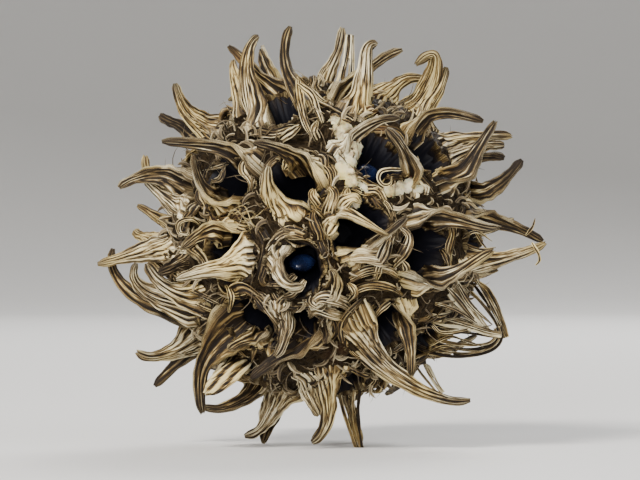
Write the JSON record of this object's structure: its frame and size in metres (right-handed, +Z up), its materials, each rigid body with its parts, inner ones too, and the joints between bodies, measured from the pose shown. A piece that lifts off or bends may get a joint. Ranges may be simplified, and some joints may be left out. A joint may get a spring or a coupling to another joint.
{
  "type": "sweetgum seed ball",
  "caption": "Dry round woody seed ball with curved ribbed beaks round dark open chambers and a few glossy seeds left inside.",
  "frame": {"origin": "on the floor, under the middle of the ball's bounding box", "axes": "+Z up from the tips that the ball rests on; the pictured side faces -Y; +X to the right of it"},
  "size_m": [0.038, 0.0336, 0.0358],
  "materials": {
    "woody head": "dry, ribbed and matt",
    "glossy seed": "glossy seed coat"
  },
  "bodies": {
    "root": {"seed_ball": "woody head", "seed_upper_right": "glossy seed", "seed_upper_middle": "glossy seed", "seed_left": "glossy seed", "seed_middle": "glossy seed"}
  },
  "joints": []
}
